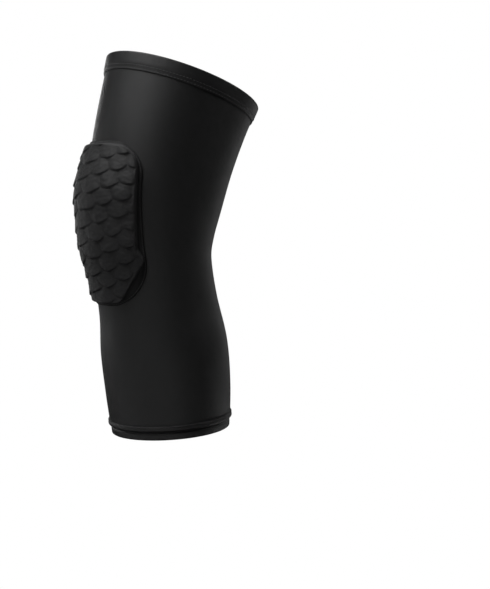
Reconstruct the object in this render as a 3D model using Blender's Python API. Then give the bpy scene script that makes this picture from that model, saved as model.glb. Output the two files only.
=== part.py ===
"""Padded knee sleeve, in the shape that it has on a slightly bent leg.

The frame is +Z up the leg, the knee's front towards -Y, and left and right along X. The origin lies inside
the sleeve, on the leg's centre line, at the height of the pad's middle.

The leg is a row of oval sections along a bent centre line. A place on the sleeve is told by its station (the
share of the centre line from the lower rim up), its angle round the leg from the front, and how far it lies
outside the cloth's outer face. A place on the pad is told by its length across and up from the pad's middle.
"""

import math
from collections import namedtuple

import bmesh
import bpy
from mathutils import Vector

# Leg, in metres and degrees
SLEEVE_LENGTH = 0.326       # centre line from the lower rim to the upper rim
THIGH_WIDTH = 0.1335        # side to side at the upper rim
KNEE_WIDTH = 0.1120         # side to side at the knee
CALF_WIDTH = 0.1170         # side to side at the calf
THIGH_LEAN = 20.0           # the thigh leans back by this, going up
SHANK_LEAN = 10.0           # the shank leans back by this, going down

# Cloth, cuff and hem
CLOTH = 0.0012              # one layer of knitted cloth
FOLD_THICKNESS = 0.0024     # the folded band of the cuff
GAP = 0.0003                # clearance between two pieces that touch
CUFF_HEIGHT = 0.0155
CUFF_LAP = 0.0040           # the cuff reaches this far down over the cloth
HEM_HEIGHT = 0.0142
HEM_LAP = 0.0035            # the hem's ridge reaches this far up over the cloth
RIDGE_HEIGHT = 0.0060
RIDGE_LAYER = 0.0007        # the hem's stitched layer over the cloth
GROOVE_HEIGHT = 0.0020
HEM_STEP = 0.0015           # the lower band lies this far inside the ridge
HEM_THICKNESS = 0.0020      # the lower band's wall
EDGE_ROUND = 0.0004         # small rounding of a sewn edge

# Knee pad
PAD_HEIGHT = 0.142          # face, along the front of the knee
PAD_WIDTH = 0.104           # face, round the knee
PAD_CROWN = 0.0110          # foam where it is thickest
PAD_SIDE_DROP = 0.35        # share of its thickness that the foam loses towards its sides
PAD_SEAT = 0.0006           # clearance between the pad's back and the cloth
PAD_STATION = 0.578         # the pad's middle, as a share of the sleeve's length
HEAD_ROUND = 0.020          # rounding of the face's upper corners
FOOT_ROUND = 0.012          # rounding of the face's lower corners
FACE_BEVEL = 0.0009         # bevel round the face
BEVEL_SHARE = 0.15          # the bevel ends at this share of the way from the face's rim to the flange's
WALL_SHARE = 0.30           # the side wall ends at this share of it
FLANGE_SIDE = 0.00225       # the sewn flange past the face's widest place
FLANGE_END = 0.00325        # the sewn flange past the face's upper and lower edges
FLANGE_THICKNESS = 0.0010
FLANGE_HEAD_ROUND = 0.028
FLANGE_FOOT_ROUND = 0.040

# Raised scales of the pad
SCALE_PITCH = 0.01635       # from scale to scale along a row, at the pad's sides
SCALE_WIDENING = 0.0062     # the scales of the middle are wider, and those beside them lie this much further out
SCALE_MIDDLE = 0.0112       # half width of that middle
SCALE_ROW = 0.01328         # from row to row
SCALE_CREEP = 0.00096       # each row up starts this much further along, past the half pitch of the stagger
SCALE_RISE = 0.0019         # how far a scale's tip stands over the next row
SCALE_SLANT = 18.6          # the rows climb by this angle
SCALE_START = (0.0153, -0.0044)  # tip of the first row's first scale, along and over it, from the pad's middle
SCALE_SPREAD = 1.14         # a scale's width over the pitch
SCALE_REACH = 1.36          # a scale's length over the step from row to row
SCALE_POWER = 2.2           # power of a scale's rounded outline
SCALE_EDGE = 0.25           # share of a scale in which its edge rises

# Mesh steps
AROUND = 42
BODY_ROWS = 20
PAD_ROWS = 48
PAD_COLUMNS = 39
BACK_STEP = 3               # the pad's plain back has every third row and column
FOLD_STEPS = 4
ARC_STEPS = 12
LINE_STEPS = 240

# The leg's sections; place is the station
Section = namedtuple("Section", "name place lean width depth_over_width")
LEG = [
    Section("lower rim", 0.00, -0.40 * SHANK_LEAN, 0.940 * CALF_WIDTH, 1.010),
    Section("low calf", 0.12, -0.50 * SHANK_LEAN, 0.990 * CALF_WIDTH, 1.010),
    Section("calf", 0.24, -0.80 * SHANK_LEAN, 1.000 * CALF_WIDTH, 1.010),
    Section("under the knee", 0.36, -1.00 * SHANK_LEAN, 0.975 * KNEE_WIDTH, 1.010),
    Section("knee's foot", 0.47, -0.85 * SHANK_LEAN, 0.965 * KNEE_WIDTH, 1.020),
    Section("knee", 0.56, 0.15 * THIGH_LEAN, 1.000 * KNEE_WIDTH, 1.045),
    Section("over the knee", 0.66, 0.475 * THIGH_LEAN, 0.885 * THIGH_WIDTH, 1.075),
    Section("low thigh", 0.80, 0.775 * THIGH_LEAN, 0.935 * THIGH_WIDTH, 1.080),
    Section("thigh", 0.92, 0.95 * THIGH_LEAN, 0.975 * THIGH_WIDTH, 1.090),
    Section("upper rim", 1.00, 1.00 * THIGH_LEAN, 1.000 * THIGH_WIDTH, 1.110),
]

# The foam's thickness along the pad, as a share of PAD_CROWN; place is the height as a share of PAD_HEIGHT
Foam = namedtuple("Foam", "place share")
FOAM = [
    Foam(-0.50, 0.36), Foam(-0.40, 0.41), Foam(-0.28, 0.54), Foam(-0.15, 0.80), Foam(0.00, 0.92),
    Foam(0.20, 1.00), Foam(0.33, 0.80), Foam(0.50, 0.40),
]

# Right side of a flat outline on the knee, from its foot to its head: corners and their rounding
Corner = namedtuple("Corner", "across up round")
FACE = [
    Corner(0.50 * PAD_WIDTH / 2, -0.500 * PAD_HEIGHT, FOOT_ROUND),
    Corner(1.02 * PAD_WIDTH / 2, -0.245 * PAD_HEIGHT, 0.05 * PAD_HEIGHT),
    Corner(0.92 * PAD_WIDTH / 2, -0.165 * PAD_HEIGHT, 0.02 * PAD_HEIGHT),
    Corner(0.97 * PAD_WIDTH / 2, 0.220 * PAD_HEIGHT, 0.30 * PAD_HEIGHT),
    Corner(0.95 * PAD_WIDTH / 2, 0.500 * PAD_HEIGHT, HEAD_ROUND),
]
FLANGE = [
    Corner(PAD_WIDTH / 2 + FLANGE_SIDE, -PAD_HEIGHT / 2 - FLANGE_END, FLANGE_FOOT_ROUND),
    Corner(PAD_WIDTH / 2 + FLANGE_SIDE, PAD_HEIGHT / 2 + FLANGE_END, FLANGE_HEAD_ROUND),
]


def smooth_value(table, place, column):
    """Value of a column at a place, on a smooth curve through a table whose rows are told by place."""
    last = len(table) - 1
    low = max(k for k in range(last) if table[k].place <= place or k == 0)
    start, end = table[low], table[low + 1]

    def slope(row):
        before, after = table[max(row - 1, 0)], table[min(row + 1, last)]
        return (getattr(after, column) - getattr(before, column)) / (after.place - before.place)

    span = end.place - start.place
    x = (place - start.place) / span
    rise = x * x * (3 - 2 * x)
    return (
        (1 - rise) * getattr(start, column)
        + rise * getattr(end, column)
        + x * (1 - x) ** 2 * span * slope(low)
        - x * x * (1 - x) * span * slope(low + 1)
    )


def build_centre_line():
    """Points of the leg's centre line at even stations, with the pad's middle at the origin."""
    step = SLEEVE_LENGTH / LINE_STEPS
    points = [Vector((0, 0, 0))]
    for k in range(LINE_STEPS):
        lean = math.radians(smooth_value(LEG, (k + 0.5) / LINE_STEPS, "lean"))
        points.append(points[-1] + step * Vector((0, math.sin(lean), math.cos(lean))))
    middle = between(points, PAD_STATION * LINE_STEPS)
    return [point - middle for point in points]


def between(values, place):
    """Value at a place between two entries of a list, told as a fractional index."""
    low = min(max(int(place), 0), len(values) - 2)
    return values[low] + (values[low + 1] - values[low]) * (place - low)


CENTRE_LINE = build_centre_line()


def sleeve_point(station, angle, out):
    """Point of the sleeve at a station and an angle from the front, out from the cloth's outer face."""
    lean = math.radians(smooth_value(LEG, station, "lean"))
    width = smooth_value(LEG, station, "width")
    half_width = width / 2 + out
    half_depth = width * smooth_value(LEG, station, "depth_over_width") / 2 + out
    back = Vector((0, math.cos(lean), -math.sin(lean)))
    side = Vector((1, 0, 0))
    centre = between(CENTRE_LINE, station * LINE_STEPS)
    return centre + side * half_width * math.sin(angle) - back * half_depth * math.cos(angle)


def build_front_lengths():
    """Length along the knee's front at even stations, from the pad's middle."""
    front = [sleeve_point(k / LINE_STEPS, 0, 0) for k in range(LINE_STEPS + 1)]
    lengths = [0.0]
    for low, high in zip(front, front[1:]):
        lengths.append(lengths[-1] + (high - low).length)
    middle = between(lengths, PAD_STATION * LINE_STEPS)
    return [length - middle for length in lengths]


FRONT_LENGTHS = build_front_lengths()


def pad_point(across, up, out):
    """Point over the knee, across and up from the pad's middle along the cloth, and out from it."""
    above = next((k for k, length in enumerate(FRONT_LENGTHS) if length > up), LINE_STEPS)
    low = max(above - 1, 0)
    share = (up - FRONT_LENGTHS[low]) / (FRONT_LENGTHS[low + 1] - FRONT_LENGTHS[low])
    station = (low + share) / LINE_STEPS
    width = smooth_value(LEG, station, "width")
    radius = width * (1 + smooth_value(LEG, station, "depth_over_width")) / 4
    return sleeve_point(station, across / radius, out)


def round_corner(before, corner, after):
    """Points of the arc that rounds a corner between its two neighbours."""
    tip = Vector((corner.across, corner.up))
    arm = (Vector(before) - tip).normalized()
    other_arm = (Vector(after) - tip).normalized()
    half_angle = arm.angle(other_arm) / 2
    centre = tip + (arm + other_arm).normalized() * corner.round / math.sin(half_angle)
    start = tip + arm * corner.round / math.tan(half_angle) - centre
    end = tip + other_arm * corner.round / math.tan(half_angle) - centre
    return [centre + corner.round * start.slerp(end, k / ARC_STEPS) for k in range(ARC_STEPS + 1)]


def even_points(line, count):
    """Points at even lengths along a line of points, both ends included."""
    lengths = [0.0]
    for low, high in zip(line, line[1:]):
        lengths.append(lengths[-1] + (high - low).length)
    points = []
    for k in range(count + 1):
        target = lengths[-1] * k / count
        low = max(n for n in range(len(line) - 1) if lengths[n] <= target or n == 0)
        share = (target - lengths[low]) / (lengths[low + 1] - lengths[low])
        points.append(line[low].lerp(line[low + 1], share))
    return points


def outline_grid(corners, rows, columns):
    """Grid of flat places that fills an outline, with its four corners at the middles of the round ones."""
    flat = [(corner.across, corner.up) for corner in corners]
    ends = [(0, flat[0][1])] + flat + [(0, flat[-1][1])]
    arcs = [round_corner(ends[k], corner, ends[k + 2]) for k, corner in enumerate(corners)]
    half = ARC_STEPS // 2
    side = arcs[0][half:] + [point for arc in arcs[1:-1] for point in arc] + arcs[-1][:half + 1]

    def across_line(right_half):
        left_half = [Vector((-point.x, point.y)) for point in right_half]
        return even_points(left_half + right_half[::-1], columns)

    foot = across_line(arcs[0][:half + 1][::-1])
    head = across_line(arcs[-1][half:])
    right = even_points(side, rows)
    left = [Vector((-point.x, point.y)) for point in right]
    grid = []
    for row in range(rows + 1):
        up = row / rows
        line = []
        for column in range(columns + 1):
            over = column / columns
            place = foot[column] * (1 - up) + head[column] * up
            place += left[row] * (1 - over) + right[row] * over
            place -= (left[0] * (1 - over) + right[0] * over) * (1 - up)
            place -= (left[-1] * (1 - over) + right[-1] * over) * up
            line.append(place)
        grid.append(line)
    return grid


def scale_relief(place):
    """Height of the raised scales at a place of the face. Each scale is a plate that rises to its tip."""
    slant = math.radians(SCALE_SLANT)
    across = place.x - SCALE_WIDENING * math.tanh(place.x / SCALE_MIDDLE)
    along = across * math.cos(slant) + place.y * math.sin(slant) - SCALE_START[0]
    over = place.y * math.cos(slant) - across * math.sin(slant) - SCALE_START[1]
    row_here = math.floor(over / SCALE_ROW)
    best = 0.0
    for row in range(row_here - 1, row_here + 2):
        shift = (along - SCALE_CREEP * row) / SCALE_PITCH - row % 2 / 2
        x = 2 * (shift - round(shift)) / SCALE_SPREAD
        y = (over - row * SCALE_ROW) / (SCALE_ROW * SCALE_REACH)
        inside = 1 - abs(x) ** SCALE_POWER - max(1 - 2 * y, 0) ** SCALE_POWER
        if y <= 1 and inside > 0:
            best = max(best, SCALE_RISE * (1 - y) * min(inside / SCALE_EDGE, 1))
    return best


def foam_height(place):
    """Thickness of the foam at a place of the face, with its crown and its scales."""
    middle = PAD_CROWN * smooth_value(FOAM, place.y / PAD_HEIGHT, "share")
    side = min(abs(2 * place.x / PAD_WIDTH), 1) ** 2.5
    return middle * (1 - PAD_SIDE_DROP * side) + scale_relief(place)


def make_object(name, points, faces, colour, roughness):
    """Closed mesh object with its own material."""
    mesh = bpy.data.meshes.new(name)
    mesh.from_pydata([tuple(point) for point in points], [], faces)
    work = bmesh.new()
    work.from_mesh(mesh)
    bmesh.ops.recalc_face_normals(work, faces=work.faces)
    work.to_mesh(mesh)
    work.free()
    mesh.shade_smooth()
    mesh.set_sharp_from_angle(angle=math.radians(50))
    material = bpy.data.materials.new(name)
    material.use_nodes = True
    shader = material.node_tree.nodes["Principled BSDF"]
    shader.inputs["Base Color"].default_value = (*colour, 1)
    shader.inputs["Roughness"].default_value = roughness
    shader.inputs["Metallic"].default_value = 0.0
    mesh.materials.append(material)
    bpy.context.scene.collection.objects.link(bpy.data.objects.new(name, mesh))


def make_ring(name, profile, colour, roughness):
    """Ring round the leg. The profile is a closed row of (length from the lower rim, out)."""
    count = len(profile)
    points = []
    for step in range(AROUND):
        angle = 2 * math.pi * step / AROUND
        points += [sleeve_point(length / SLEEVE_LENGTH, angle, out) for length, out in profile]
    faces = []
    for step in range(AROUND):
        here, there = step * count, (step + 1) % AROUND * count
        for k in range(count):
            after = (k + 1) % count
            faces.append((here + k, there + k, there + after, here + after))
    make_object(name, points, faces, colour, roughness)


def make_body():
    """The tube of cloth, from behind the hem's ridge to behind the cuff."""
    low = HEM_HEIGHT - HEM_LAP
    high = SLEEVE_LENGTH - CUFF_HEIGHT + CUFF_LAP
    lengths = [low + (high - low) * k / BODY_ROWS for k in range(BODY_ROWS + 1)]
    profile = [(length, 0.0) for length in lengths]
    profile += [(length, -CLOTH) for length in reversed(lengths)]
    make_ring("sleeve_body", profile, (0.012, 0.012, 0.013), 0.55)


def make_cuff():
    """The folded band at the upper rim. Its lower edge laps over the cloth."""
    foot = SLEEVE_LENGTH - CUFF_HEIGHT
    cloth_end = foot + CUFF_LAP + GAP
    outer = GAP + CLOTH
    inner = outer - FOLD_THICKNESS
    fold = FOLD_THICKNESS / 2
    profile = [
        (foot, GAP),
        (foot, outer - EDGE_ROUND),
        (foot + EDGE_ROUND, outer),
        ((foot + SLEEVE_LENGTH) / 2, outer),
    ]
    for step in range(FOLD_STEPS + 1):
        turn = math.pi * step / FOLD_STEPS
        profile.append((SLEEVE_LENGTH - fold + fold * math.sin(turn), outer - fold + fold * math.cos(turn)))
    profile += [(cloth_end, inner), (cloth_end, GAP)]
    make_ring("thigh_cuff", profile, (0.015, 0.015, 0.016), 0.5)


def make_hem():
    """The stitched ridge over the cloth's lower edge, the groove under it and the set-in band."""
    cloth_end = HEM_HEIGHT - HEM_LAP - GAP
    outer = GAP + RIDGE_LAYER
    band = outer - HEM_STEP
    inner = band - HEM_THICKNESS
    ridge_foot = HEM_HEIGHT - RIDGE_HEIGHT
    groove_foot = ridge_foot - GROOVE_HEIGHT
    profile = [
        (HEM_HEIGHT, GAP),
        (HEM_HEIGHT, outer - EDGE_ROUND),
        (HEM_HEIGHT - EDGE_ROUND, outer),
        ((HEM_HEIGHT + ridge_foot) / 2, outer),
        (ridge_foot + EDGE_ROUND, outer),
        (ridge_foot, outer - EDGE_ROUND),
        (ridge_foot, band - EDGE_ROUND),
        (groove_foot, band - EDGE_ROUND),
        (groove_foot - EDGE_ROUND, band),
        (EDGE_ROUND, band),
        (0.0, band - EDGE_ROUND),
        (0.0, inner + EDGE_ROUND),
        (EDGE_ROUND, inner),
        (groove_foot, inner),
        (cloth_end, -CLOTH),
        (cloth_end, GAP),
    ]
    make_ring("calf_hem", profile, (0.015, 0.015, 0.016), 0.5)


def rim_places(rows, columns, step=1):
    """Rows and columns of the places on the rim of a grid, once round."""
    places = [(0, k) for k in range(0, columns, step)]
    places += [(k, columns) for k in range(0, rows, step)]
    places += [(rows, k) for k in range(columns, 0, -step)]
    return places + [(k, 0) for k in range(rows, 0, -step)]


def make_pad():
    """The foam pad: scaled face, bevel, side wall, sewn flange and the back on the cloth."""
    face = outline_grid(FACE, PAD_ROWS, PAD_COLUMNS)
    flange = outline_grid(FLANGE, PAD_ROWS, PAD_COLUMNS)
    rim = rim_places(PAD_ROWS, PAD_COLUMNS)
    points = []
    faces = []

    def add_point(place, height):
        points.append(pad_point(place.x, place.y, PAD_SEAT + height))
        return len(points) - 1

    def add_skin(height_of, step):
        """Grid of points over the face, with its quads."""
        skin = {
            (row, column): add_point(face[row][column], height_of(face[row][column]))
            for row in range(0, PAD_ROWS + 1, step)
            for column in range(0, PAD_COLUMNS + 1, step)
        }
        for row in range(0, PAD_ROWS, step):
            for column in range(0, PAD_COLUMNS, step):
                corners = [(row, column), (row, column + step), (row + step, column + step), (row + step, column)]
                faces.append([skin[corner] for corner in corners])
        return skin

    def add_ring(share, height_of):
        """Ring of points at a share of the way from the face's rim to the flange's rim."""
        ring = []
        for row, column in rim:
            inner = face[row][column]
            ring.append(add_point(inner.lerp(flange[row][column], share), height_of(inner)))
        return ring

    front = add_skin(foam_height, 1)
    back = add_skin(lambda place: 0.0, BACK_STEP)
    loops = [
        [front[place] for place in rim],
        add_ring(BEVEL_SHARE, lambda place: foam_height(place) - FACE_BEVEL),
        add_ring(WALL_SHARE, lambda place: FLANGE_THICKNESS),
        add_ring(1.0, lambda place: FLANGE_THICKNESS),
        add_ring(1.0, lambda place: 0.0),
        add_ring(WALL_SHARE, lambda place: 0.0),
    ]
    for inner, outer in zip(loops, loops[1:]):
        for k in range(len(rim)):
            after = (k + 1) % len(rim)
            faces.append([inner[k], outer[k], outer[after], inner[after]])
    edge = loops[-1]
    back_rim = [back[place] for place in rim_places(PAD_ROWS, PAD_COLUMNS, BACK_STEP)]
    for k, inner in enumerate(back_rim):
        after = back_rim[(k + 1) % len(back_rim)]
        steps = [edge[(k * BACK_STEP + n) % len(edge)] for n in range(BACK_STEP + 1)]
        middle = (BACK_STEP + 1) // 2
        faces += [[inner if n < middle else after, steps[n], steps[n + 1]] for n in range(BACK_STEP)]
        faces.append([inner, steps[middle], after])
    make_object("knee_pad", points, faces, (0.020, 0.020, 0.021), 0.7)


for old in list(bpy.data.objects):
    bpy.data.objects.remove(old)
make_body()
make_cuff()
make_hem()
make_pad()
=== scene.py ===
"""Looks of the padded knee sleeve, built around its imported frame.

Cloth, bands and thread are modelled round a straight round post and then wrapped on the bent leg. The
pad is modelled flat and then wrapped on the knee. All lengths are in metres, +Z goes up the leg and the
knee faces -Y.
"""

import bisect
import math
from collections import namedtuple

import bpy
from mathutils import Matrix, Vector, kdtree, noise


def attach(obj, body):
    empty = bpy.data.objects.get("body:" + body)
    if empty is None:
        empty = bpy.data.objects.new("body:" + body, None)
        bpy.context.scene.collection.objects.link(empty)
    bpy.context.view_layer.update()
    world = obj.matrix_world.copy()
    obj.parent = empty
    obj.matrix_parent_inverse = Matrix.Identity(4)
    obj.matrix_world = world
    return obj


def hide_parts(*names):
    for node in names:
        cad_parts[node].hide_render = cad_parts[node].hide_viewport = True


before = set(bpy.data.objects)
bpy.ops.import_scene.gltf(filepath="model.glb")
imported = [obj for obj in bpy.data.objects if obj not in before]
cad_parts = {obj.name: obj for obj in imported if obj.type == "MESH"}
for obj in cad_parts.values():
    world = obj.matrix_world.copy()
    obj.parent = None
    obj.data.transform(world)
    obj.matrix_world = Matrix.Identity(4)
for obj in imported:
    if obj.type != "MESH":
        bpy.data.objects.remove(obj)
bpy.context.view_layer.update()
bpy.ops.object.select_all(action="DESELECT")


# Sleeve cloth: a tube knitted from black nylon and elastane, one layer, open at both ends.
# It has no form of its own and takes the leg's, so the leg's sections come first. Its ends lie
# behind the cuff and behind the hem, where they are sewn.

SLEEVE_LENGTH = 0.326
THIGH_WIDTH = 0.1335
KNEE_WIDTH = 0.1120
CALF_WIDTH = 0.1170
THIGH_LEAN = 20.0
SHANK_LEAN = 10.0
PAD_STATION = 0.578
LINE_STEPS = 240
CLOTH = 0.0012
GAP = 0.0003
CUFF_HEIGHT = 0.0155
CUFF_LAP = 0.0040
HEM_HEIGHT = 0.0142
HEM_LAP = 0.0035
POST_RADIUS = 0.0605
FACETS_ROUND = 144
CLOTH_RINGS = 78
WALE = POST_RADIUS * math.tau / 720
COURSE = 0.00046
COURSE_DIP = 1.9
CLOTH_BLACK = (0.0070, 0.0070, 0.0075)
# Painted shade: a darker colour, with more roughness, blended in on the pad's side wall and flange, which lie
# in shade.
PAINTED_SHADE_BLACK = (0.0045, 0.0045, 0.0047)
SHADE_ROUGHER = 0.25
# Painted highlight: a lighter colour, with less roughness, blended in along the pad's top edge, where light
# catches it.
PAINTED_HIGHLIGHT_COLOUR = (0.0500, 0.0500, 0.0515)
HIGHLIGHT_SMOOTHER = 0.12
DARK_YARN = 0.72
LIGHT_YARN = 1.25

Section = namedtuple("Section", "name place lean width depth_over_width")
LEG = [
    Section("lower rim", 0.00, -0.40 * SHANK_LEAN, 0.940 * CALF_WIDTH, 1.010),
    Section("low calf", 0.12, -0.50 * SHANK_LEAN, 0.990 * CALF_WIDTH, 1.010),
    Section("calf", 0.24, -0.80 * SHANK_LEAN, 1.000 * CALF_WIDTH, 1.010),
    Section("under the knee", 0.36, -1.00 * SHANK_LEAN, 0.975 * KNEE_WIDTH, 1.010),
    Section("knee's foot", 0.47, -0.85 * SHANK_LEAN, 0.965 * KNEE_WIDTH, 1.020),
    Section("knee", 0.56, 0.15 * THIGH_LEAN, 1.000 * KNEE_WIDTH, 1.045),
    Section("over the knee", 0.66, 0.475 * THIGH_LEAN, 0.885 * THIGH_WIDTH, 1.075),
    Section("low thigh", 0.80, 0.775 * THIGH_LEAN, 0.935 * THIGH_WIDTH, 1.080),
    Section("thigh", 0.92, 0.95 * THIGH_LEAN, 0.975 * THIGH_WIDTH, 1.090),
    Section("upper rim", 1.00, 1.00 * THIGH_LEAN, 1.000 * THIGH_WIDTH, 1.110),
]


def smooth_value(table, place, column):
    """Value of a column at a place, on a smooth curve through a table whose rows are told by place."""
    last = len(table) - 1
    low = max(k for k in range(last) if table[k].place <= place or k == 0)
    start, end = table[low], table[low + 1]

    def slope(row):
        before, after = table[max(row - 1, 0)], table[min(row + 1, last)]
        return (getattr(after, column) - getattr(before, column)) / (after.place - before.place)

    span = end.place - start.place
    x = (place - start.place) / span
    rise = x * x * (3 - 2 * x)
    return (
        (1 - rise) * getattr(start, column)
        + rise * getattr(end, column)
        + x * (1 - x) ** 2 * span * slope(low)
        - x * x * (1 - x) * span * slope(low + 1)
    )


def between(values, place):
    """Value at a place between two entries of a list, told as a fractional index."""
    low = min(max(int(place), 0), len(values) - 2)
    return values[low] + (values[low + 1] - values[low]) * (place - low)


def lay_centre_line():
    """Points of the leg's centre line at even stations, with the pad's middle at the origin."""
    step = SLEEVE_LENGTH / LINE_STEPS
    points = [Vector((0, 0, 0))]
    for k in range(LINE_STEPS):
        lean = math.radians(smooth_value(LEG, (k + 0.5) / LINE_STEPS, "lean"))
        points.append(points[-1] + step * Vector((0, math.sin(lean), math.cos(lean))))
    middle = between(points, PAD_STATION * LINE_STEPS)
    return [point - middle for point in points]


CENTRE_LINE = lay_centre_line()


def leg_point(station, angle, out):
    """Point at a station and an angle from the front of the leg, out from the cloth's outer face."""
    lean = math.radians(smooth_value(LEG, station, "lean"))
    width = smooth_value(LEG, station, "width")
    half_width = width / 2 + out
    half_depth = width * smooth_value(LEG, station, "depth_over_width") / 2 + out
    centre = between(CENTRE_LINE, station * LINE_STEPS)
    front = Vector((0, -math.cos(lean), math.sin(lean)))
    return centre + Vector((half_width * math.sin(angle), 0, 0)) + front * half_depth * math.cos(angle)


def pick(piece, kind, test):
    """Selects the vertices, edges or faces of a piece that pass a test, for the edit operators."""
    bpy.context.view_layer.objects.active = piece
    bpy.ops.object.mode_set(mode="EDIT")
    bpy.ops.mesh.select_mode(type=kind)
    bpy.ops.mesh.select_all(action="DESELECT")
    bpy.ops.object.mode_set(mode="OBJECT")
    mesh = piece.data
    for part in {"VERT": mesh.vertices, "EDGE": mesh.edges, "FACE": mesh.polygons}[kind]:
        part.select = test(part)
    bpy.ops.object.mode_set(mode="EDIT")


def post_place(point):
    """Angle from the front, length up and distance out of a point round the straight post."""
    return math.atan2(point.x, -point.y), point.z, math.hypot(point.x, point.y) - POST_RADIUS


def keep_unrolled(mesh, place_of):
    """Keeps the flat place of each corner of each face as the only UV map, which the knit follows."""
    layer = mesh.uv_layers.get("unrolled") or mesh.uv_layers.new(name="unrolled")
    for face in mesh.polygons:
        for loop in face.loop_indices:
            layer.uv[loop].vector = place_of(face, mesh.loops[loop].vertex_index)
    for other in [other for other in mesh.uv_layers if other.name != "unrolled"]:
        mesh.uv_layers.remove(other)


def wrap_on_leg(piece):
    """Takes a piece from the straight post to the leg, and keeps its unrolled places as its UV map."""
    mesh = piece.data
    places = [post_place(vertex.co) for vertex in mesh.vertices]

    def unrolled(face, corner):
        angle, length, _ = places[corner]
        angle += math.tau * round((post_place(face.center)[0] - angle) / math.tau)
        return POST_RADIUS * angle, length

    keep_unrolled(mesh, unrolled)
    for vertex, (angle, length, out) in zip(mesh.vertices, places):
        vertex.co = leg_point(length / SLEEVE_LENGTH, angle, out)
    mesh.update()


def finish_mesh(piece, name, angle):
    """Names a piece and shades it smooth, with its sharp folds kept."""
    bpy.ops.object.select_all(action="DESELECT")
    piece.name = piece.data.name = name
    piece.select_set(True)
    bpy.context.view_layer.objects.active = piece
    bpy.ops.object.transform_apply(location=True, rotation=True, scale=True)
    bpy.ops.object.shade_smooth_by_angle(angle=math.radians(angle))
    piece.select_set(False)


class Field:
    """An output in a material's nodes. Sums on it add Math nodes, and node() adds any other kind."""

    def __init__(self, tree, socket=None):
        self.tree, self.socket = tree, socket

    def node(self, kind, settings=None, values=None, output=0):
        made = self.tree.nodes.new(kind)
        for key, value in (settings or {}).items():
            setattr(made, key, value)
        for key, value in (values or {}).items():
            if isinstance(value, Field):
                self.tree.links.new(value.socket, made.inputs[key])
            else:
                made.inputs[key].default_value = value
        return Field(self.tree, made.outputs[output])

    def __add__(self, other):
        return self.node("ShaderNodeMath", {"operation": "ADD"}, {0: self, 1: other})

    def __sub__(self, other):
        return self.node("ShaderNodeMath", {"operation": "SUBTRACT"}, {0: self, 1: other})

    def __rsub__(self, other):
        return self.node("ShaderNodeMath", {"operation": "SUBTRACT"}, {0: other, 1: self})

    def __mul__(self, other):
        return self.node("ShaderNodeMath", {"operation": "MULTIPLY"}, {0: self, 1: other})

    __radd__, __rmul__ = __add__, __mul__


def start_material(name, colour):
    """New material with its shader, and an empty field of its nodes to build on."""
    material = bpy.data.materials.new(name)
    material.use_nodes = True
    material.diffuse_color = (*colour, 1)
    shader = material.node_tree.nodes["Principled BSDF"]
    shader.inputs["Base Color"].default_value = (*colour, 1)
    return material, shader, Field(material.node_tree)


def unrolled_place(field):
    """The unrolled UV map, and its lengths across and along the cloth."""
    unrolled = field.node("ShaderNodeUVMap", {"uv_map": "unrolled"})
    parts = field.node("ShaderNodeSeparateXYZ", None, {0: unrolled})
    return unrolled, parts, Field(field.tree, parts.socket.node.outputs[1])


def single_maths(operation, value):
    """A Math node of one value, such as SINE."""
    return value.node("ShaderNodeMath", {"operation": operation}, {0: value})


def blend_colours(field, factor, start, end):
    """Mix of two colours, each one a colour or a field."""
    ends = {"A": start, "B": end}
    for key, colour in ends.items():
        ends[key] = colour if isinstance(colour, Field) else (*colour, 1)
    return field.node("ShaderNodeMix", {"data_type": "RGBA"}, {"Factor": factor, **ends}, output="Result")


def plug_in(shader, **fields):
    """Links fields to a shader's sockets, whose names are given with underscores."""
    for name, field in fields.items():
        field.tree.links.new(field.socket, shader.inputs[name.replace("_", " ")])


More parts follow.
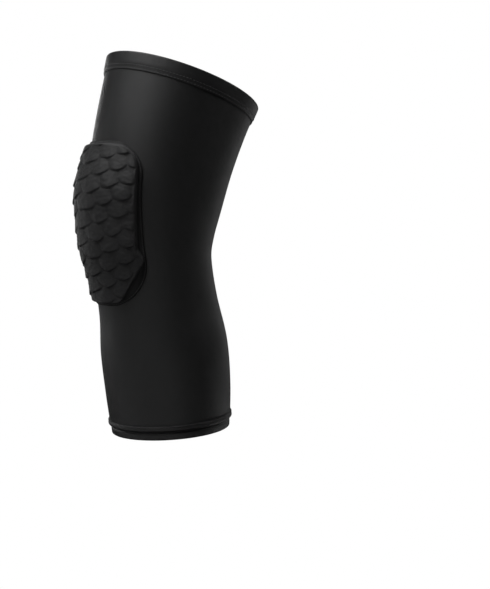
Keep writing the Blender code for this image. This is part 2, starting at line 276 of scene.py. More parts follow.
def knit_material(name, colour, roughness, sheen, gleam, relief, painted_shade_part=None, painted_highlight_part=None):
    """Black elastic knit: fine wales and courses in relief, uneven yarn, and the sheen of its filaments.

    Vertex attributes may give shares of painted shade (darker, rougher) and of painted highlight (lighter,
    smoother).
    """
    material, shader, field = start_material(name, colour)
    shader.inputs["Specular IOR Level"].default_value = gleam
    shader.inputs["Sheen Weight"].default_value = sheen
    shader.inputs["Sheen Roughness"].default_value = 0.35
    unrolled, across, along = unrolled_place(field)
    wale = single_maths("COSINE", across * (math.tau / WALE))
    dip = single_maths("ABSOLUTE", wale) * COURSE_DIP
    course = single_maths("SINE", along * (math.tau / COURSE) + dip)
    grain = field.node(
        "ShaderNodeTexNoise", None, {"Vector": unrolled, "Scale": 900.0, "Detail": 2.0, "Roughness": 0.6}
    )
    cloudy = field.node(
        "ShaderNodeTexNoise", None, {"Vector": unrolled, "Scale": 55.0, "Detail": 3.0, "Roughness": 0.55}
    )
    height = wale * 0.5 + course * 0.35 + grain * 0.9 + cloudy * relief
    bump = field.node(
        "ShaderNodeBump", None, {"Strength": 0.35, "Distance": 0.00012, "Height": height}
    )
    yarn = course * 0.06 + wale * 0.06 + grain * 0.5 + cloudy * 0.35 + 0.55
    dark = tuple(DARK_YARN * part for part in colour)
    light = tuple(LIGHT_YARN * part for part in colour)
    shade = blend_colours(field, yarn - 0.45, dark, light)
    rough = cloudy * 0.10 + (roughness - 0.05)
    # Painted shade: a darker colour and more roughness where the shade share is set, on the pad's wall and
    # flange.
    if painted_shade_part:
        shade_share = field.node("ShaderNodeAttribute", {"attribute_name": painted_shade_part}, output="Fac")
        rough = rough + shade_share * SHADE_ROUGHER
        shade = blend_colours(field, shade_share, shade, PAINTED_SHADE_BLACK)
    # Painted highlight: a lighter colour and less roughness where the highlight share is set, along the pad's
    # top edge.
    if painted_highlight_part:
        highlight_share = field.node("ShaderNodeAttribute", {"attribute_name": painted_highlight_part}, output="Fac")
        rough = rough - highlight_share * HIGHLIGHT_SMOOTHER
        shade = blend_colours(field, highlight_share, shade, PAINTED_HIGHLIGHT_COLOUR)
    plug_in(shader, Base_Color=shade, Roughness=rough, Normal=bump)
    return material


cloth_foot = HEM_HEIGHT - HEM_LAP
cloth_head = SLEEVE_LENGTH - CUFF_HEIGHT + CUFF_LAP

bpy.ops.mesh.primitive_cylinder_add(
    vertices=FACETS_ROUND,
    radius=POST_RADIUS,
    depth=cloth_head - cloth_foot,
    end_fill_type="NOTHING",
    location=(0, 0, (cloth_head + cloth_foot) / 2),
)
sleeve_cloth = bpy.context.object
bpy.ops.object.transform_apply(location=True)
pick(
    sleeve_cloth,
    "EDGE",
    lambda edge: len({round(sleeve_cloth.data.vertices[v].co.z, 5) for v in edge.vertices}) == 2,
)
bpy.ops.mesh.subdivide(number_cuts=CLOTH_RINGS - 1)
bpy.ops.object.mode_set(mode="OBJECT")
wrap_on_leg(sleeve_cloth)
layer = sleeve_cloth.modifiers.new("one layer of knit", "SOLIDIFY")
layer.thickness = CLOTH
layer.offset = -1
layer.use_even_offset = True
bpy.ops.object.modifier_apply(modifier=layer.name)
finish_mesh(sleeve_cloth, "sleeve_cloth", 50)
sleeve_cloth.data.materials.append(knit_material("black_knit", CLOTH_BLACK, 0.50, 0.0, 0.50, 3.0))
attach(sleeve_cloth, "root")
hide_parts("sleeve_body")


# Thigh cuff: a band of the same knit, folded double over the upper rim. Its lower edge laps over the
# sleeve's cloth and is sewn down by two rows of short stitches, which draw small dents into it.

FOLD_THICKNESS = 0.0024
CUFF_EDGE = 0.0006
CUFF_EDGE_ROUND = 0.0003
CUFF_TAPER = 0.0075
CUFF_STEPS = 25
CUFF_ROWS = (0.0012, 0.0042)
CUFF_DENT = 0.00004
DENT_WIDTH = 0.0007
STITCH_LENGTH = 0.0026
STITCH_SEEN = 0.86
STITCH_ARCH = 1.1
STITCH_BELLY = 1.15
STITCH_PINCH = 0.35
THREAD = 0.00050
THREAD_SIDES = 6
THREAD_LIFT = 0.0001
UPPER_ROW_LIFT = 0.0005
PLY = 0.00042
PLY_LEAN = 1.4
BAND_BLACK = (0.0080, 0.0080, 0.0085)
THREAD_BLACK = (0.035, 0.035, 0.037)
THREAD_DARK = (0.024, 0.024, 0.025)
THREAD_LIGHT = (0.046, 0.046, 0.048)


def blend_in(value, start, end):
    """Smooth step from 0 to 1 as a value goes from start to end."""
    share = min(max((value - start) / (end - start), 0), 1)
    return share * share * (3 - 2 * share)


def make_band(profile, name, material, node):
    """Ring of cloth round the leg from its profile, a closed row of (length up, out), spun round the post."""
    bpy.ops.mesh.primitive_circle_add(vertices=len(profile), fill_type="NOTHING")
    band = bpy.context.object
    for vertex, (length, out) in zip(band.data.vertices, profile):
        vertex.co = (POST_RADIUS + out, 0, length)
    pick(band, "VERT", lambda vertex: True)
    bpy.ops.mesh.spin(steps=FACETS_ROUND, angle=math.tau, center=(0, 0, 0), axis=(0, 0, 1))
    bpy.ops.mesh.select_all(action="SELECT")
    bpy.ops.mesh.remove_doubles(threshold=0.00001)
    bpy.ops.mesh.normals_make_consistent(inside=False)
    bpy.ops.object.mode_set(mode="OBJECT")
    wrap_on_leg(band)
    finish_mesh(band, name, 50)
    band.data.materials.append(material)
    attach(band, "root")
    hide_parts(node)
    return band


def dented(line, rows, depth):
    """Line of (length, out) places, pressed in by a depth where rows of stitches hold it."""

    def dent(length):
        return depth * sum(math.exp(-(((length - row) / DENT_WIDTH) ** 2)) for row in rows)

    return [(length, out - dent(length)) for length, out in line]


def make_stitch():
    """One stitch as seen from outside: a short arched length of thread whose ends dive into the cloth."""
    bpy.ops.mesh.primitive_cylinder_add(
        vertices=THREAD_SIDES,
        radius=THREAD / 2,
        depth=STITCH_LENGTH * STITCH_SEEN,
        rotation=(0, math.pi / 2, 0),
    )
    stitch = bpy.context.object
    bpy.ops.object.transform_apply(rotation=True)
    pick(
        stitch,
        "EDGE",
        lambda edge: len({round(stitch.data.vertices[v].co.x, 6) for v in edge.vertices}) == 2,
    )
    bpy.ops.mesh.subdivide(number_cuts=3)
    bpy.ops.object.mode_set(mode="OBJECT")
    for vertex in stitch.data.vertices:
        share = vertex.co.x / (STITCH_LENGTH * STITCH_SEEN / 2)
        vertex.co.z -= THREAD * STITCH_ARCH * share * share
        vertex.co.y *= STITCH_BELLY - STITCH_PINCH * share * share
    return stitch


def sew(name, places, wrap):
    """Row of stitches, one at each (middle, along, out), joined in one piece and wrapped where it belongs."""
    stitch = make_stitch()
    copies = []
    for middle, along, out in places:
        copy = stitch.copy()
        copy.data = stitch.data.copy()
        side = out.cross(along)
        copy.data.transform(Matrix((along, side, out)).transposed().to_4x4())
        copy.data.transform(Matrix.Translation(middle))
        bpy.context.scene.collection.objects.link(copy)
        copies.append(copy)
    bpy.data.objects.remove(stitch)
    bpy.ops.object.select_all(action="DESELECT")
    for copy in copies:
        copy.select_set(True)
    bpy.context.view_layer.objects.active = copies[0]
    bpy.ops.object.join()
    seam = bpy.context.object
    wrap(seam)
    finish_mesh(seam, name, 60)
    seam.data.materials.append(THREAD_MATERIAL)
    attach(seam, "root")
    return seam


def round_post(length, out, shift=0.0):
    """Places of a row of stitches round the post at a length up, out from the cloth's outer face."""
    count = round(math.tau * POST_RADIUS / STITCH_LENGTH)
    places = []
    for k in range(count):
        angle = math.tau * (k + shift) / count
        outwards = Vector((math.sin(angle), -math.cos(angle), 0))
        along = Vector((math.cos(angle), math.sin(angle), 0))
        places.append((outwards * (POST_RADIUS + out) + Vector((0, 0, length)), along, outwards))
    return places


def thread_material():
    """Black polyester thread: a little lighter and glossier than the knit, with the turns of its plies."""
    material, shader, field = start_material("sewing_thread", THREAD_BLACK)
    shader.inputs["Specular IOR Level"].default_value = 0.5
    shader.inputs["Sheen Weight"].default_value = 0.25
    _, across, along = unrolled_place(field)
    plies = single_maths("SINE", (across + along * PLY_LEAN) * (math.tau / PLY))
    bump = field.node("ShaderNodeBump", None, {"Strength": 0.5, "Distance": 0.00008, "Height": plies})
    shade = blend_colours(field, plies * 0.5 + 0.5, THREAD_DARK, THREAD_LIGHT)
    plug_in(shader, Base_Color=shade, Roughness=plies * 0.05 + 0.42, Normal=bump)
    return material


THREAD_MATERIAL = thread_material()
BAND_KNIT = knit_material("black_knit_band", BAND_BLACK, 0.48, 0.0, 0.50, 3.0)
cuff_foot = SLEEVE_LENGTH - CUFF_HEIGHT
cuff_outer = GAP + CLOTH
cuff_inner = cuff_outer - FOLD_THICKNESS
fold = FOLD_THICKNESS / 2
cuff_rows = [cuff_foot + row for row in CUFF_ROWS]
edge = [(cuff_foot, GAP)]
for turn in (0, math.pi / 6, math.pi / 3):
    up = CUFF_EDGE_ROUND * (1 - math.cos(turn))
    out = CUFF_EDGE - CUFF_EDGE_ROUND * (1 - math.sin(turn))
    edge.append((cuff_foot + up, GAP + out))
face = []
for k in range(CUFF_STEPS):
    up = CUFF_EDGE_ROUND + (CUFF_HEIGHT - CUFF_EDGE_ROUND - fold) * k / CUFF_STEPS
    out = CUFF_EDGE + (cuff_outer - GAP - CUFF_EDGE) * blend_in(up, 0, CUFF_TAPER)
    face.append((cuff_foot + up, GAP + out))
top = [
    (SLEEVE_LENGTH - fold + fold * math.sin(turn), cuff_outer - fold + fold * math.cos(turn))
    for turn in (math.pi * k / 8 for k in range(9))
]
cloth_end = cuff_foot + CUFF_LAP + GAP
fold_foot = SLEEVE_LENGTH - fold
inside = [(fold_foot + (cloth_end - fold_foot) * k / 6, cuff_inner) for k in range(1, 7)]
thigh_cuff = make_band(
    edge + dented(face, cuff_rows, CUFF_DENT) + top + inside + [(cloth_end, GAP)],
    "cuff_band",
    BAND_KNIT,
    "thigh_cuff",
)
cuff_stitches = sew(
    "cuff_stitches",
    round_post(cuff_rows[0], GAP + CUFF_EDGE + THREAD_LIFT)
    + round_post(cuff_rows[1], GAP + CUFF_EDGE + UPPER_ROW_LIFT, 0.5),
    wrap_on_leg,
)


# Calf hem: the cloth's lower edge turned up and stitched in a raised ridge, with an elastic band set
# in under it. A narrow groove parts the two, and the band stands a little further in than the ridge.

RIDGE_HEIGHT = 0.0060
RIDGE_LAYER = 0.0007
GROOVE_HEIGHT = 0.0020
HEM_STEP = 0.0015
HEM_THICKNESS = 0.0020
HEM_ROWS = (0.0020, 0.0046)
HEM_DENT = 0.00006
RIDGE_STEPS = 20
RIDGE_SEAT = 0.0002
RIDGE_ROLL = 0.0011
RIDGE_SAG = 1.9
RIDGE_FULLNESS = 0.8
GROOVE_DEPTH = 0.0010
BAND_BULGE = 0.0001
LOW_EDGE_ROUND = 0.0007

Groove = namedtuple("Groove", "down depth")
GROOVE = [Groove(0.1, 0.2), Groove(0.4, 0.7), Groove(0.8, 0.5), Groove(1.0, 0.1)]

ridge_outer = GAP + RIDGE_LAYER
band_outer = ridge_outer - HEM_STEP
band_inner = band_outer - HEM_THICKNESS
ridge_foot = HEM_HEIGHT - RIDGE_HEIGHT
groove_foot = ridge_foot - GROOVE_HEIGHT
hem_end = HEM_HEIGHT - HEM_LAP - GAP
hem_rows = [ridge_foot + row for row in HEM_ROWS]
ridge = []
for k in range(RIDGE_STEPS + 1):
    share = k / RIDGE_STEPS
    roll = math.sin(math.pi * share ** RIDGE_SAG) ** RIDGE_FULLNESS if 0 < share < 1 else 0.0
    ridge.append((HEM_HEIGHT - RIDGE_HEIGHT * share, GAP + RIDGE_SEAT + RIDGE_ROLL * roll))
groove = [
    (ridge_foot - row.down * GROOVE_HEIGHT, band_outer - row.depth * GROOVE_DEPTH)
    for row in GROOVE
]
band = [
    (groove_foot * (1 - share), band_outer + BAND_BULGE * math.sin(math.pi * share))
    for share in (0.15, 0.35, 0.55, 0.75, 0.9)
]
band_middle = (band_outer + band_inner) / 2
low_edge = [
    (LOW_EDGE_ROUND * (1 - math.sin(turn)), band_middle + HEM_THICKNESS / 2 * math.cos(turn))
    for turn in (math.pi * k / 6 for k in range(1, 6))
]
hem_band = make_band(
    [(HEM_HEIGHT, GAP)]
    + dented(ridge, hem_rows, HEM_DENT)
    + groove
    + band
    + low_edge
    + [(groove_foot * 0.5, band_inner), (groove_foot, band_inner), (hem_end, -CLOTH), (hem_end, GAP)],
    "hem_band",
    BAND_KNIT,
    "calf_hem",
)
hem_stitches = sew(
    "hem_stitches",
    round_post(hem_rows[0], ridge_outer + THREAD_LIFT)
    + round_post(hem_rows[1], ridge_outer + THREAD_LIFT, 0.5),
    wrap_on_leg,
)


# Knee pad: a thick piece of moulded foam with a thin cloth skin, covered by rows of raised scales that
# overlap downwards. A thin flange runs round its foot, and the pad is sewn to the sleeve through it.

PAD_HEIGHT = 0.142
PAD_WIDTH = 0.104
PAD_CROWN = 0.0110
PAD_SIDE_DROP = 0.35
PAD_SIDE_POWER = 2.5
PAD_SEAT = 0.0006
HEAD_ROUND = 0.020
FOOT_ROUND = 0.012
FLANGE_SIDE = 0.00225
FLANGE_END = 0.00325
FLANGE_THICKNESS = 0.0010
FLANGE_HEAD_ROUND = 0.028
FLANGE_FOOT_ROUND = 0.040
SCALE_PITCH = 0.01635
SCALE_ROW = 0.01328
SCALE_CREEP = 0.00096
SCALE_RISE = 0.0019
SCALE_SLANT = 18.6
SCALE_START = (0.0153, -0.0044)
SCALE_WIDENING = 0.0062
SCALE_MIDDLE = 0.0112
SCALE_SPREAD = 1.14
SCALE_REACH = 1.36
SCALE_POWER = 2.2
SCALE_FOOT = 0.32
SCALE_EDGE = 0.40
SCALE_SOFT_EDGE = 0.95
SCALE_SWELL = 0.80
SCALE_UNEVEN = 0.22
LEAN_SHIFT = 0.30
LEAN_STRAIGHTENS = 0.8
LEAN_SQUARES = 0.9
SCALE_DRIFT = 0.0013
DRIFT_FINENESS = 95
SKIN_WRINKLE = 0.00022
WRINKLE_FINENESS = 260
SKIN_FOLD = 0.000352
FOLD_FINENESS = 120
RELIEF_MEAN = 0.0010
RELIEF_FADE = 0.0025
RIM_ROUND = 0.0012
RIM_DROP = 0.0005
HEAD_RIM = 2.0
WALL_LEAST = 0.0021
# Width of the painted highlight along the pad's top edge.
EDGE_WIDTH = 0.0016
# Share of painted shade on the side wall (the flange takes all of it), and how much of it fades near the
# pad's lit head.
WALL_SHADE_SHARE = 0.45
HEAD_LIT = 0.85
PAD_ROWS = 288
PAD_COLUMNS = 208
BACK_STEP = 8
ARC_STEPS = 24
SKIN_BLACK = (0.0118, 0.0118, 0.0123)

Foam = namedtuple("Foam", "place share")
FOAM = [
    Foam(-0.50, 0.36), Foam(-0.40, 0.41), Foam(-0.28, 0.54), Foam(-0.15, 0.80), Foam(0.00, 0.92),
    Foam(0.20, 1.00), Foam(0.33, 0.80), Foam(0.50, 0.40),
]

Corner = namedtuple("Corner", "across up round")
FACE = [
    Corner(0.50 * PAD_WIDTH / 2, -0.500 * PAD_HEIGHT, FOOT_ROUND),
    Corner(1.02 * PAD_WIDTH / 2, -0.245 * PAD_HEIGHT, 0.05 * PAD_HEIGHT),
    Corner(0.92 * PAD_WIDTH / 2, -0.165 * PAD_HEIGHT, 0.02 * PAD_HEIGHT),
    Corner(0.97 * PAD_WIDTH / 2, 0.220 * PAD_HEIGHT, 0.30 * PAD_HEIGHT),
    Corner(0.95 * PAD_WIDTH / 2, 0.500 * PAD_HEIGHT, HEAD_ROUND),
]
FLANGE = [
    Corner(PAD_WIDTH / 2 + FLANGE_SIDE, -PAD_HEIGHT / 2 - FLANGE_END, FLANGE_FOOT_ROUND),
    Corner(PAD_WIDTH / 2 + FLANGE_SIDE, PAD_HEIGHT / 2 + FLANGE_END, FLANGE_HEAD_ROUND),
]


def lay_front_lengths():
    """Length along the knee's front at even stations, from the pad's middle."""
    front = [leg_point(k / LINE_STEPS, 0, 0) for k in range(LINE_STEPS + 1)]
    lengths = [0.0]
    for low, high in zip(front, front[1:]):
        lengths.append(lengths[-1] + (high - low).length)
    middle = between(lengths, PAD_STATION * LINE_STEPS)
    return [length - middle for length in lengths]


FRONT_LENGTHS = lay_front_lengths()


def knee_point(across, up, out):
    """Point over the knee, across and up from the pad's middle along the cloth, and out from it."""
    low = min(max(bisect.bisect_right(FRONT_LENGTHS, up) - 1, 0), LINE_STEPS - 1)
    share = (up - FRONT_LENGTHS[low]) / (FRONT_LENGTHS[low + 1] - FRONT_LENGTHS[low])
    station = (low + share) / LINE_STEPS
    width = smooth_value(LEG, station, "width")
    radius = width * (1 + smooth_value(LEG, station, "depth_over_width")) / 4
    return leg_point(station, across / radius, out)


def wrap_on_knee(piece):
    """Takes a flat piece to the knee, and keeps its flat places as its UV map."""
    mesh = piece.data
    flat = [vertex.co.copy() for vertex in mesh.vertices]
    keep_unrolled(mesh, lambda face, corner: flat[corner].xy)
    for vertex, place in zip(mesh.vertices, flat):
        vertex.co = knee_point(place.x, place.y, PAD_SEAT + place.z)
    mesh.update()


def round_corner(before, corner, after):
    """Points of the arc that rounds a corner between its two neighbours."""
    tip = Vector((corner.across, corner.up))
    arm = (Vector(before) - tip).normalized()
    other_arm = (Vector(after) - tip).normalized()
    half_angle = arm.angle(other_arm) / 2
    centre = tip + (arm + other_arm).normalized() * corner.round / math.sin(half_angle)
    start = tip + arm * corner.round / math.tan(half_angle) - centre
    end = tip + other_arm * corner.round / math.tan(half_angle) - centre
    return [centre + corner.round * start.slerp(end, k / ARC_STEPS) for k in range(ARC_STEPS + 1)]


def even_points(line, count):
    """Points at even lengths along a line of points, both ends included."""
    lengths = [0.0]
    for low, high in zip(line, line[1:]):
        lengths.append(lengths[-1] + (high - low).length)
    points = []
    for k in range(count + 1):
        target = lengths[-1] * k / count
        low = min(max(bisect.bisect_right(lengths, target) - 1, 0), len(line) - 2)
        share = (target - lengths[low]) / (lengths[low + 1] - lengths[low])
        points.append(line[low].lerp(line[low + 1], share))
    return points


def outline_grid(corners):
    """Grid of flat places that fills an outline, with its four corners at the middles of the round ones."""
    flat = [(corner.across, corner.up) for corner in corners]
    ends = [(0, flat[0][1])] + flat + [(0, flat[-1][1])]
    arcs = [round_corner(ends[k], corner, ends[k + 2]) for k, corner in enumerate(corners)]
    half = ARC_STEPS // 2
    side = arcs[0][half:] + [point for arc in arcs[1:-1] for point in arc] + arcs[-1][:half + 1]

    def across_line(right_half):
        left_half = [Vector((-point.x, point.y)) for point in right_half]
        return even_points(left_half + right_half[::-1], PAD_COLUMNS)

    foot = across_line(arcs[0][:half + 1][::-1])
    head = across_line(arcs[-1][half:])
    right = even_points(side, PAD_ROWS)
    left = [Vector((-point.x, point.y)) for point in right]
    grid = []
    for row in range(PAD_ROWS + 1):
        up = row / PAD_ROWS
        line = []
        for column in range(PAD_COLUMNS + 1):
            over = column / PAD_COLUMNS
            place = foot[column] * (1 - up) + head[column] * up
            place += left[row] * (1 - over) + right[row] * over
            place -= (left[0] * (1 - over) + right[0] * over) * (1 - up)
            place -= (left[-1] * (1 - over) + right[-1] * over) * up
            line.append(place)
        grid.append(line)
    return grid


def scale_place(place):
    """A place told along and over the rows of scales, with their drift and the wider ones in the middle."""
    slant = math.radians(SCALE_SLANT)
    x, y = (
        value + SCALE_DRIFT * noise.noise(Vector((place.x, place.y, layer)) * DRIFT_FINENESS)
        for value, layer in ((place.x, 0.0), (place.y, 0.1))
    )
    x -= SCALE_WIDENING * math.tanh(x / SCALE_MIDDLE)
    along = x * math.cos(slant) + y * math.sin(slant) - SCALE_START[0]
    over = y * math.cos(slant) - x * math.sin(slant) - SCALE_START[1]
    return along, over


def scale_relief(place):
    """Height of the raised scales at a place. Each is a swollen plate that rises to its tip.

    The upper rows are round. Lower down a scale leans: its left flank runs slantwise down to the tip and
    its foot goes on nearly level to the right.
    """
    along, over = scale_place(place)
    row_here = math.floor(over / SCALE_ROW)
    best = 0.0
    for row in range(row_here - 1, row_here + 2):
        lean = min(max((1 - row) / 2, 0), 1)
        shift = (along - SCALE_CREEP * row) / SCALE_PITCH - row % 2 / 2
        column = round(shift)
        across = 2 * (shift - column) / SCALE_SPREAD
        tip = -LEAN_SHIFT * lean
        if across < tip:
            from_tip = (tip - across) / (1 + tip)
            power = SCALE_POWER - LEAN_STRAIGHTENS * lean
        else:
            from_tip = (across - tip) / (1 - tip)
            power = SCALE_POWER + LEAN_SQUARES * lean
        up = (over - row * SCALE_ROW) / (SCALE_ROW * SCALE_REACH)
        inside = 1 - from_tip ** power - max(1 - up / SCALE_FOOT, 0) ** power
        if up <= 1 and inside > 0:
            flank = blend_in(across, -0.9, 0.1)
            rim = min(inside / (SCALE_SOFT_EDGE + (SCALE_EDGE - SCALE_SOFT_EDGE) * flank), 1)
            uneven = 1 + SCALE_UNEVEN * noise.noise(Vector((column * 7.3, row * 5.1, 0.4)))
            swollen = 1 - SCALE_SWELL * min(from_tip, 1) ** 2
            best = max(best, SCALE_RISE * (1 - up) * uneven * swollen * rim * (2 - rim))
    return best


def foam_height(place, rim_distance):
    """Thickness of the foam at a place of the face, with its crown, its scales and its rounded rim."""
    middle = PAD_CROWN * smooth_value(FOAM, place.y / PAD_HEIGHT, "share")
    side = min(abs(2 * place.x / PAD_WIDTH), 1) ** PAD_SIDE_POWER
    scales = (scale_relief(place) - RELIEF_MEAN) * blend_in(rim_distance, 0.0, RELIEF_FADE)
    wrinkle = SKIN_WRINKLE * noise.noise(Vector((place.x, place.y * 1.3, 0.2)) * WRINKLE_FINENESS)
    fold = SKIN_FOLD * noise.noise(Vector((place.x, place.y, 0.7)) * FOLD_FINENESS)
    wider = 1 + (HEAD_RIM - 1) * blend_in(place.y, 0.36 * PAD_HEIGHT, 0.46 * PAD_HEIGHT)
    near_rim = max(1 - rim_distance / (RIM_ROUND * wider), 0)
    rounding = RIM_DROP * wider ** 2 * near_rim ** 2
    return middle * (1 - PAD_SIDE_DROP * side) + RELIEF_MEAN + scales + wrinkle + fold - rounding


def rim_places(step):
    """Rows and columns of the places on the rim of the grid, once round."""
    places = [(0, k) for k in range(0, PAD_COLUMNS, step)]
    places += [(k, PAD_COLUMNS) for k in range(0, PAD_ROWS, step)]
    places += [(PAD_ROWS, k) for k in range(PAD_COLUMNS, 0, -step)]
    return places + [(k, 0) for k in range(PAD_ROWS, 0, -step)]


# The rings from the face's rim out to the flange's rim: share of the way, and drop below the face, or height
Ring = namedtuple("Ring", "share drop height")
RINGS = [
    Ring(0.04, 0.00045, None),
    Ring(0.09, 0.00120, None),
    Ring(0.14, 0.00220, None),
    Ring(0.22, None, 0.0019),
    Ring(0.30, None, 0.0012),
    Ring(0.40, None, 0.0010),
    Ring(0.70, None, 0.0009),
    Ring(0.93, None, 0.0010),
    Ring(1.00, None, 0.0007),
    Ring(1.00, None, 0.0000),
    Ring(0.30, None, 0.0000),
]
WALL_RINGS = (4, 6)
FLANGE_RINGS = (7, 9)


def model_pad():
    """Flat pad: scaled face, rounded rim, side wall, flange and plain back, in one closed mesh."""
    face_grid, flange_grid = outline_grid(FACE), outline_grid(FLANGE)
    rim = rim_places(1)
    rim_tree = kdtree.KDTree(len(rim))
    for k, (row, column) in enumerate(rim):
        rim_tree.insert((*face_grid[row][column], 0), k)
    rim_tree.balance()
    points, faces = [], []

    def add_point(place, height):
        points.append((place.x, place.y, height))
        return len(points) - 1

    def add_skin(height_of, step):
        """Grid of points over the face, with its quads."""
        skin = {
            (row, column): add_point(face_grid[row][column], height_of(face_grid[row][column]))
            for row in range(0, PAD_ROWS + 1, step)
            for column in range(0, PAD_COLUMNS + 1, step)
        }
        for row in range(0, PAD_ROWS, step):
            for column in range(0, PAD_COLUMNS, step):
                sides = [(0, 0), (0, step), (step, step), (step, 0)]
                faces.append([skin[row + up, column + over] for up, over in sides])
        return skin

    def front_height(place):
        return foam_height(place, rim_tree.find((*place, 0))[2])

    front = add_skin(front_height, 1)
    back = add_skin(lambda place: 0.0, BACK_STEP)
    loops = [[front[place] for place in rim]]
    for ring in RINGS:
        loop = []
        for row, column in rim:
            inner = face_grid[row][column]
            height = ring.height
            if height is None:
                height = max(foam_height(inner, 0) - ring.drop, WALL_LEAST)
            loop.append(add_point(inner.lerp(flange_grid[row][column], ring.share), height))
        loops.append(loop)
    for inner, outer in zip(loops, loops[1:]):
        for k in range(len(rim)):
            after = (k + 1) % len(rim)
            faces.append([inner[k], outer[k], outer[after], inner[after]])
    edge = loops[-1]
    back_rim = [back[place] for place in rim_places(BACK_STEP)]
    for k, inner in enumerate(back_rim):
        after = back_rim[(k + 1) % len(back_rim)]
        steps = [edge[(k * BACK_STEP + n) % len(edge)] for n in range(BACK_STEP + 1)]
        middle = BACK_STEP // 2
        faces.extend([inner if n < middle else after, steps[n], steps[n + 1]] for n in range(BACK_STEP))
        faces.append([inner, steps[middle], after])
    mesh = bpy.data.meshes.new("knee_pad_skin")
    mesh.from_pydata(points, [], faces)
    # Painted shade: a share on the side wall and a full share on the flange, fading towards the head, which
    # is lit.
    flange_painted_shade = mesh.attributes.new("flange", "FLOAT", "POINT")
    # Painted highlight: a share along the face's top edge, where light catches its rounded rim.
    edge_painted_highlight = mesh.attributes.new("painted edge highlight", "FLOAT", "POINT")
    wall_start, wall_end = loops[WALL_RINGS[0]][0], loops[WALL_RINGS[1]][-1]
    flange_end = loops[FLANGE_RINGS[1]][-1]
    for k, (across, up, _) in enumerate(points):
        if wall_start <= k <= flange_end:
            shade_share = WALL_SHADE_SHARE if k <= wall_end else 1.0
            lit = HEAD_LIT * blend_in(up, 0.35 * PAD_HEIGHT, 0.48 * PAD_HEIGHT)
            flange_painted_shade.data[k].value = shade_share * (1 - lit)
        from_rim = rim_tree.find((across, up, 0))[2]
        if k < wall_start and from_rim < EDGE_WIDTH:
            head = blend_in(up, 0.40 * PAD_HEIGHT, 0.46 * PAD_HEIGHT)
            edge_painted_highlight.data[k].value = head * (1 - from_rim / EDGE_WIDTH)
    piece = bpy.data.objects.new("knee_pad_skin", mesh)
    bpy.context.scene.collection.objects.link(piece)
    return piece, [flange_grid[row][column] for row, column in rim]


knee_pad_skin, flange_rim = model_pad()
pick(knee_pad_skin, "FACE", lambda face: True)
bpy.ops.mesh.normals_make_consistent(inside=False)
bpy.ops.object.mode_set(mode="OBJECT")
wrap_on_knee(knee_pad_skin)
finish_mesh(knee_pad_skin, "knee_pad_skin", 70)
# The skin's material paints shade on the wall and flange, and a highlight along the top edge.
PAD_KNIT = knit_material("pad_skin", SKIN_BLACK, 0.62, 0.05, 0.35, 2.0, "flange", "painted edge highlight")
knee_pad_skin.data.materials.append(PAD_KNIT)
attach(knee_pad_skin, "root")
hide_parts("knee_pad")


# Pad seam: one row of stitches round the pad's flange, close to its edge. It is the same thread as on
# the cuff and goes through the flange and the sleeve's cloth.

SEAM_INSET = 0.0013
SEAM_SINK = 0.0001


def round_flange():
    """Places of the stitches on the flange, a little inside its edge."""
    loop = flange_rim + flange_rim[:1]
    length = sum((high - low).length for low, high in zip(loop, loop[1:]))
    points = even_points(loop, round(length / STITCH_LENGTH))
    places = []
    for k, point in enumerate(points[:-1]):
        along = (points[k + 1] - points[k - 1 if k else -2]).normalized()
        inwards = Vector((-along.y, along.x))
        middle = Vector((*(point + inwards * SEAM_INSET), FLANGE_THICKNESS - SEAM_SINK))
        places.append((middle, Vector((*along, 0)), Vector((0, 0, 1))))
    return places


pad_stitches = sew("pad_stitches", round_flange(), wrap_on_knee)


# Studio: a white floor far under the sleeve, a white surround that only the camera sees, one big softbox
# over the front, and small panels low down and behind that draw out the cloth's edges. None of it is
# part of the object.

FLOOR_DROP = 0.50
FLOOR_SIZE = 40
WHITE = 1.0
STAND_DISTANCE = 1.3
CAMERA_PLACE = (1.0554, -0.6125, 0.0326)
CAMERA_TURN = 55.8199
CAMERA_TILT = 85.6202
CAMERA_ROLL = 0.2665
CAMERA_LENS = 80.949

bpy.ops.mesh.primitive_plane_add(size=FLOOR_SIZE, location=(0, 0, -FLOOR_DROP))
floor = bpy.context.object
floor.name = "floor"
floor_material = bpy.data.materials.new("white_floor")
floor_material.use_nodes = True
floor_nodes = Field(floor_material.node_tree)
floor_glow = floor_nodes.node("ShaderNodeEmission", None, {"Color": (1, 1, 1, 1), "Strength": WHITE})
output = next(node for node in floor_material.node_tree.nodes if node.type == "OUTPUT_MATERIAL")
floor_material.node_tree.links.new(floor_glow.socket, output.inputs["Surface"])
floor.data.materials.append(floor_material)
floor.visible_diffuse = False
floor.visible_glossy = False
floor.visible_shadow = False

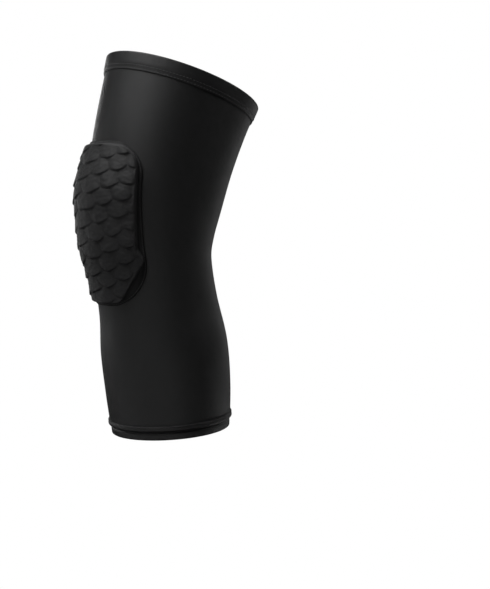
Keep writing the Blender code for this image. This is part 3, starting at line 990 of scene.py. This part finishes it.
world = bpy.data.worlds.new("studio")
bpy.context.scene.world = world
world.use_nodes = True
air = Field(world.node_tree)
seen = air.node("ShaderNodeLightPath", output="Is Camera Ray")
surround = air.node("ShaderNodeBackground", None, {"Color": (1, 1, 1, 1), "Strength": WHITE})
dim = air.node("ShaderNodeBackground", None, {"Color": (1, 1, 1, 1), "Strength": 0.0})
sky = air.node("ShaderNodeMixShader", None, {0: seen, 1: dim, 2: surround})
world_output = next(node for node in world.node_tree.nodes if node.type == "OUTPUT_WORLD")
world.node_tree.links.new(sky.socket, world_output.inputs["Surface"])

Softbox = namedtuple("Softbox", "name azimuth elevation size power")
SOFTBOXES = [
    Softbox("over_the_front", 0, 60, 0.95, 17.0),
    Softbox("front_right", 22.5, 30, 0.52, 1.35),
    Softbox("low_left", -22.5, -30, 0.52, 1.35),
    Softbox("low_front", 45, -30, 0.52, 1.5),
    Softbox("low_right", 90, -30, 0.52, 0.95),
    Softbox("left", -67.5, 0, 0.52, 1.5),
    Softbox("left_edge", -105, 5, 0.52, 3.2),
    Softbox("back_right", 157.5, 30, 0.52, 3.0),
    Softbox("back_low", 180, -30, 0.52, 1.4),
    Softbox("back_left", -157.5, 0, 0.52, 0.55),
]
for box in SOFTBOXES:
    light = bpy.data.lights.new(box.name, "AREA")
    light.shape, light.size, light.energy = "SQUARE", box.size, box.power
    lamp = bpy.data.objects.new(box.name, light)
    turn, rise = math.radians(box.azimuth), math.radians(box.elevation)
    away = Vector((math.sin(turn) * math.cos(rise), -math.cos(turn) * math.cos(rise), math.sin(rise)))
    lamp.location = away * STAND_DISTANCE
    lamp.rotation_euler = away.to_track_quat("Z", "Y").to_euler()
    lamp.visible_camera = False
    bpy.context.scene.collection.objects.link(lamp)

view = bpy.context.scene.view_settings
view.view_transform = "Standard"
view.look = "None"
view.exposure = 0.0
view.gamma = 1.0

camera = bpy.data.cameras.new("camera")
camera.lens = CAMERA_LENS
camera.sensor_width = 36
camera.sensor_fit = "AUTO"
camera_stand = bpy.data.objects.new("camera", camera)
camera_stand.location = CAMERA_PLACE
camera_stand.rotation_euler = (
    Matrix.Rotation(math.radians(CAMERA_TURN), 4, "Z")
    @ Matrix.Rotation(math.radians(CAMERA_TILT), 4, "X")
    @ Matrix.Rotation(math.radians(CAMERA_ROLL), 4, "Z")
).to_euler()
bpy.context.scene.collection.objects.link(camera_stand)
bpy.context.scene.camera = camera_stand
